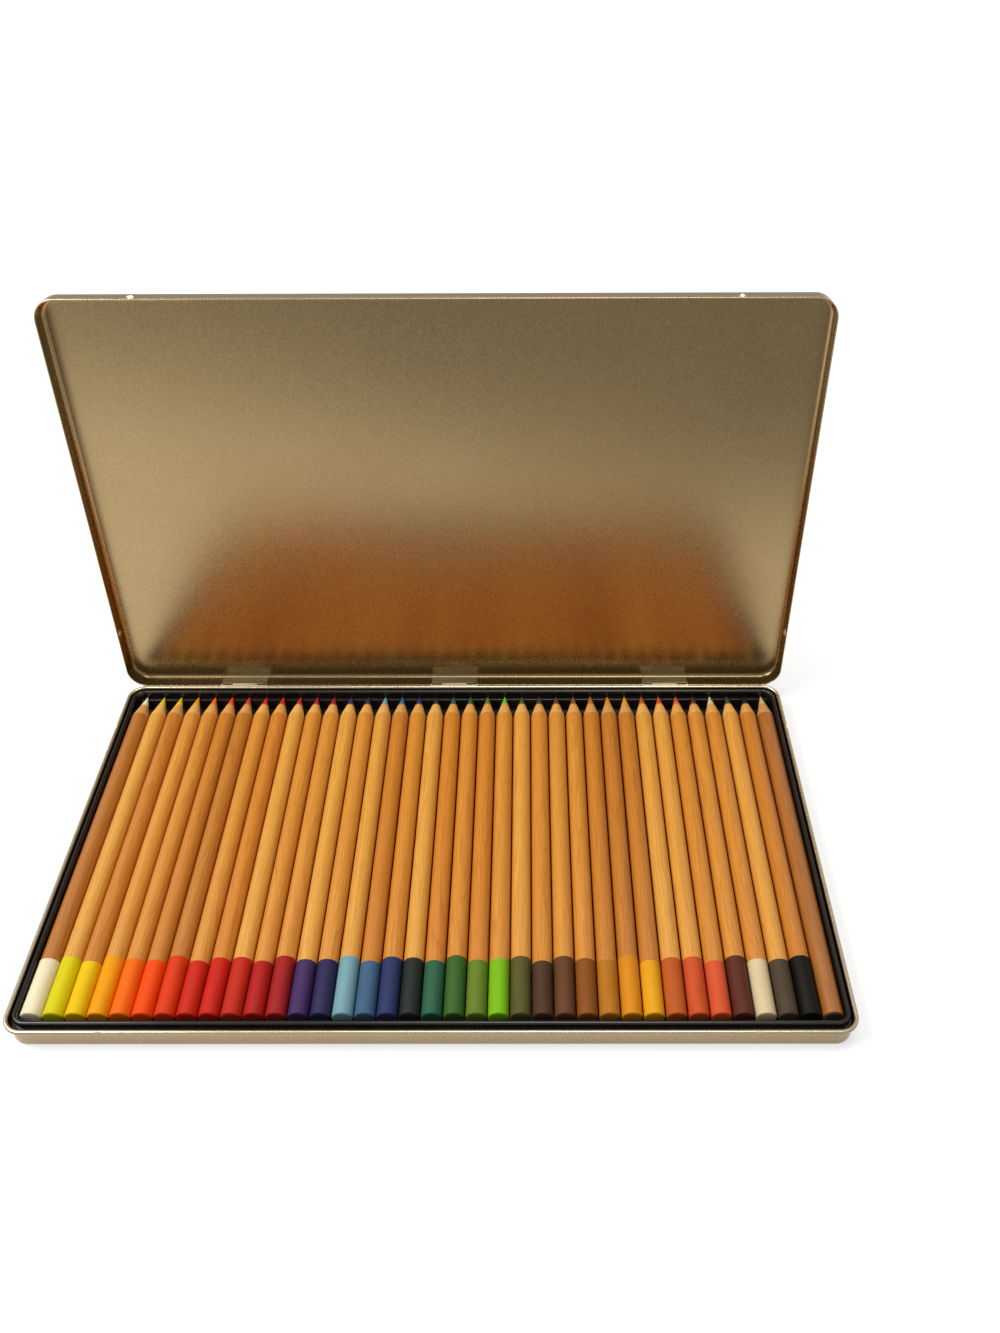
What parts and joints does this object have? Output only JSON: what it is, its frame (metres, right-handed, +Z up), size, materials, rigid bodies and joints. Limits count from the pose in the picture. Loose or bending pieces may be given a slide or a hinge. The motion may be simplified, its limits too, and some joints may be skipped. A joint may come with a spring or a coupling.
{
  "type": "colored_pencil_tin",
  "caption": "Flat hinged tinplate pencil tin, lid open, with round wooden coloured pencils in a black moulded tray",
  "frame": {"origin": "centre of the base's flat underside", "axes": "+X across the pencils, the longest side; +Y from the front to the hinges; +Z up"},
  "size_m": [0.3174, 0.2143, 0.1974],
  "materials": {
    "tinplate": "satin, drawn and rolled",
    "tray_plastic": "glossy black moulding",
    "hinge_plate": "bright strip, spot welded",
    "hinge_wire_steel": "drawn wire",
    "white_pencil": "wooden case, core and dipped end in this colour",
    "lemon_pencil": "wooden case, core and dipped end in this colour",
    "canary_pencil": "wooden case, core and dipped end in this colour",
    "deep_yellow_pencil": "wooden case, core and dipped end in this colour",
    "light_orange_pencil": "wooden case, core and dipped end in this colour",
    "bright_orange_pencil": "wooden case, core and dipped end in this colour",
    "vermilion_pencil": "wooden case, core and dipped end in this colour",
    "scarlet_pencil": "wooden case, core and dipped end in this colour",
    "light_red_pencil": "wooden case, core and dipped end in this colour",
    "rose_red_pencil": "wooden case, core and dipped end in this colour",
    "carmine_pencil": "wooden case, core and dipped end in this colour",
    "crimson_pencil": "wooden case, core and dipped end in this colour",
    "violet_pencil": "wooden case, core and dipped end in this colour",
    "blue_violet_pencil": "wooden case, core and dipped end in this colour",
    "sky_blue_pencil": "wooden case, core and dipped end in this colour",
    "mid_blue_pencil": "wooden case, core and dipped end in this colour",
    "deep_blue_pencil": "wooden case, core and dipped end in this colour",
    "night_green_pencil": "wooden case, core and dipped end in this colour",
    "viridian_pencil": "wooden case, core and dipped end in this colour",
    "leaf_green_pencil": "wooden case, core and dipped end in this colour",
    "moss_green_pencil": "wooden case, core and dipped end in this colour",
    "apple_green_pencil": "wooden case, core and dipped end in this colour",
    "olive_pencil": "wooden case, core and dipped end in this colour",
    "dark_brown_pencil": "wooden case, core and dipped end in this colour",
    "umber_pencil": "wooden case, core and dipped end in this colour",
    "raw_umber_pencil": "wooden case, core and dipped end in this colour",
    "ochre_pencil": "wooden case, core and dipped end in this colour",
    "gold_ochre_pencil": "wooden case, core and dipped end in this colour",
    "golden_yellow_pencil": "wooden case, core and dipped end in this colour",
    "terracotta_pencil": "wooden case, core and dipped end in this colour",
    "brick_pencil": "wooden case, core and dipped end in this colour",
    "salmon_pencil": "wooden case, core and dipped end in this colour",
    "maroon_pencil": "wooden case, core and dipped end in this colour",
    "silver_grey_pencil": "wooden case, core and dipped end in this colour",
    "dark_grey_pencil": "wooden case, core and dipped end in this colour",
    "black_pencil": "wooden case, core and dipped end in this colour",
    "cedar_case": "round wooden case under clear lacquer, bare where it is sharpened"
  },
  "bodies": {
    "root": {"base_tin": "tinplate", "base_hinge_leaf_left": "hinge_plate", "base_hinge_leaf_centre": "hinge_plate", "base_hinge_leaf_right": "hinge_plate", "hinge_wire_left": "hinge_wire_steel", "hinge_wire_centre": "hinge_wire_steel", "hinge_wire_right": "hinge_wire_steel"},
    "lid": {"lid_tin": "tinplate", "lid_hinge_leaf_left": "hinge_plate", "lid_hinge_leaf_centre": "hinge_plate", "lid_hinge_leaf_right": "hinge_plate"},
    "tray": {"pencil_tray": "tray_plastic"},
    "pencil_01": {"pencil_01_white": "white_pencil"},
    "pencil_02": {"pencil_02_lemon": "lemon_pencil"},
    "pencil_03": {"pencil_03_canary": "canary_pencil"},
    "pencil_04": {"pencil_04_deep_yellow": "deep_yellow_pencil"},
    "pencil_05": {"pencil_05_light_orange": "light_orange_pencil"},
    "pencil_06": {"pencil_06_bright_orange": "bright_orange_pencil"},
    "pencil_07": {"pencil_07_vermilion": "vermilion_pencil"},
    "pencil_08": {"pencil_08_scarlet": "scarlet_pencil"},
    "pencil_09": {"pencil_09_light_red": "light_red_pencil"},
    "pencil_10": {"pencil_10_rose_red": "rose_red_pencil"},
    "pencil_11": {"pencil_11_carmine": "carmine_pencil"},
    "pencil_12": {"pencil_12_crimson": "crimson_pencil"},
    "pencil_13": {"pencil_13_violet": "violet_pencil"},
    "pencil_14": {"pencil_14_blue_violet": "blue_violet_pencil"},
    "pencil_15": {"pencil_15_sky_blue": "sky_blue_pencil"},
    "pencil_16": {"pencil_16_mid_blue": "mid_blue_pencil"},
    "pencil_17": {"pencil_17_deep_blue": "deep_blue_pencil"},
    "pencil_18": {"pencil_18_night_green": "night_green_pencil"},
    "pencil_19": {"pencil_19_viridian": "viridian_pencil"},
    "pencil_20": {"pencil_20_leaf_green": "leaf_green_pencil"},
    "pencil_21": {"pencil_21_moss_green": "moss_green_pencil"},
    "pencil_22": {"pencil_22_apple_green": "apple_green_pencil"},
    "pencil_23": {"pencil_23_olive": "olive_pencil"},
    "pencil_24": {"pencil_24_dark_brown": "dark_brown_pencil"},
    "pencil_25": {"pencil_25_umber": "umber_pencil"},
    "pencil_26": {"pencil_26_raw_umber": "raw_umber_pencil"},
    "pencil_27": {"pencil_27_ochre": "ochre_pencil"},
    "pencil_28": {"pencil_28_gold_ochre": "gold_ochre_pencil"},
    "pencil_29": {"pencil_29_golden_yellow": "golden_yellow_pencil"},
    "pencil_30": {"pencil_30_terracotta": "terracotta_pencil"},
    "pencil_31": {"pencil_31_brick": "brick_pencil"},
    "pencil_32": {"pencil_32_salmon": "salmon_pencil"},
    "pencil_33": {"pencil_33_maroon": "maroon_pencil"},
    "pencil_34": {"pencil_34_silver_grey": "silver_grey_pencil"},
    "pencil_35": {"pencil_35_dark_grey": "dark_grey_pencil"},
    "pencil_36": {"pencil_36_black": "black_pencil"},
    "pencil_37": {"pencil_37_colourless": "cedar_case"}
  },
  "joints": [
    {"name": "lid_hinge", "type": "hinge", "parent": "root", "child": "lid", "pos_m": [0, 0.0952, 0.0084], "axis": [-1, 0, 0], "range_deg": [-95.6, 0]},
    {"name": "tray_lift", "type": "slide", "parent": "root", "child": "tray", "axis": [0, 0, 1], "range_m": [0, 0.015]},
    {"name": "pencil_01_lift", "type": "slide", "parent": "tray", "child": "pencil_01", "axis": [0, 0, 1], "range_m": [0, 0.02]},
    {"name": "pencil_02_lift", "type": "slide", "parent": "tray", "child": "pencil_02", "axis": [0, 0, 1], "range_m": [0, 0.02]},
    {"name": "pencil_03_lift", "type": "slide", "parent": "tray", "child": "pencil_03", "axis": [0, 0, 1], "range_m": [0, 0.02]},
    {"name": "pencil_04_lift", "type": "slide", "parent": "tray", "child": "pencil_04", "axis": [0, 0, 1], "range_m": [0, 0.02]},
    {"name": "pencil_05_lift", "type": "slide", "parent": "tray", "child": "pencil_05", "axis": [0, 0, 1], "range_m": [0, 0.02]},
    {"name": "pencil_06_lift", "type": "slide", "parent": "tray", "child": "pencil_06", "axis": [0, 0, 1], "range_m": [0, 0.02]},
    {"name": "pencil_07_lift", "type": "slide", "parent": "tray", "child": "pencil_07", "axis": [0, 0, 1], "range_m": [0, 0.02]},
    {"name": "pencil_08_lift", "type": "slide", "parent": "tray", "child": "pencil_08", "axis": [0, 0, 1], "range_m": [0, 0.02]},
    {"name": "pencil_09_lift", "type": "slide", "parent": "tray", "child": "pencil_09", "axis": [0, 0, 1], "range_m": [0, 0.02]},
    {"name": "pencil_10_lift", "type": "slide", "parent": "tray", "child": "pencil_10", "axis": [0, 0, 1], "range_m": [0, 0.02]},
    {"name": "pencil_11_lift", "type": "slide", "parent": "tray", "child": "pencil_11", "axis": [0, 0, 1], "range_m": [0, 0.02]},
    {"name": "pencil_12_lift", "type": "slide", "parent": "tray", "child": "pencil_12", "axis": [0, 0, 1], "range_m": [0, 0.02]},
    {"name": "pencil_13_lift", "type": "slide", "parent": "tray", "child": "pencil_13", "axis": [0, 0, 1], "range_m": [0, 0.02]},
    {"name": "pencil_14_lift", "type": "slide", "parent": "tray", "child": "pencil_14", "axis": [0, 0, 1], "range_m": [0, 0.02]},
    {"name": "pencil_15_lift", "type": "slide", "parent": "tray", "child": "pencil_15", "axis": [0, 0, 1], "range_m": [0, 0.02]},
    {"name": "pencil_16_lift", "type": "slide", "parent": "tray", "child": "pencil_16", "axis": [0, 0, 1], "range_m": [0, 0.02]},
    {"name": "pencil_17_lift", "type": "slide", "parent": "tray", "child": "pencil_17", "axis": [0, 0, 1], "range_m": [0, 0.02]},
    {"name": "pencil_18_lift", "type": "slide", "parent": "tray", "child": "pencil_18", "axis": [0, 0, 1], "range_m": [0, 0.02]},
    {"name": "pencil_19_lift", "type": "slide", "parent": "tray", "child": "pencil_19", "axis": [0, 0, 1], "range_m": [0, 0.02]},
    {"name": "pencil_20_lift", "type": "slide", "parent": "tray", "child": "pencil_20", "axis": [0, 0, 1], "range_m": [0, 0.02]},
    {"name": "pencil_21_lift", "type": "slide", "parent": "tray", "child": "pencil_21", "axis": [0, 0, 1], "range_m": [0, 0.02]},
    {"name": "pencil_22_lift", "type": "slide", "parent": "tray", "child": "pencil_22", "axis": [0, 0, 1], "range_m": [0, 0.02]},
    {"name": "pencil_23_lift", "type": "slide", "parent": "tray", "child": "pencil_23", "axis": [0, 0, 1], "range_m": [0, 0.02]},
    {"name": "pencil_24_lift", "type": "slide", "parent": "tray", "child": "pencil_24", "axis": [0, 0, 1], "range_m": [0, 0.02]},
    {"name": "pencil_25_lift", "type": "slide", "parent": "tray", "child": "pencil_25", "axis": [0, 0, 1], "range_m": [0, 0.02]},
    {"name": "pencil_26_lift", "type": "slide", "parent": "tray", "child": "pencil_26", "axis": [0, 0, 1], "range_m": [0, 0.02]},
    {"name": "pencil_27_lift", "type": "slide", "parent": "tray", "child": "pencil_27", "axis": [0, 0, 1], "range_m": [0, 0.02]},
    {"name": "pencil_28_lift", "type": "slide", "parent": "tray", "child": "pencil_28", "axis": [0, 0, 1], "range_m": [0, 0.02]},
    {"name": "pencil_29_lift", "type": "slide", "parent": "tray", "child": "pencil_29", "axis": [0, 0, 1], "range_m": [0, 0.02]},
    {"name": "pencil_30_lift", "type": "slide", "parent": "tray", "child": "pencil_30", "axis": [0, 0, 1], "range_m": [0, 0.02]},
    {"name": "pencil_31_lift", "type": "slide", "parent": "tray", "child": "pencil_31", "axis": [0, 0, 1], "range_m": [0, 0.02]},
    {"name": "pencil_32_lift", "type": "slide", "parent": "tray", "child": "pencil_32", "axis": [0, 0, 1], "range_m": [0, 0.02]},
    {"name": "pencil_33_lift", "type": "slide", "parent": "tray", "child": "pencil_33", "axis": [0, 0, 1], "range_m": [0, 0.02]},
    {"name": "pencil_34_lift", "type": "slide", "parent": "tray", "child": "pencil_34", "axis": [0, 0, 1], "range_m": [0, 0.02]},
    {"name": "pencil_35_lift", "type": "slide", "parent": "tray", "child": "pencil_35", "axis": [0, 0, 1], "range_m": [0, 0.02]},
    {"name": "pencil_36_lift", "type": "slide", "parent": "tray", "child": "pencil_36", "axis": [0, 0, 1], "range_m": [0, 0.02]},
    {"name": "pencil_37_lift", "type": "slide", "parent": "tray", "child": "pencil_37", "axis": [0, 0, 1], "range_m": [0, 0.02]}
  ]
}
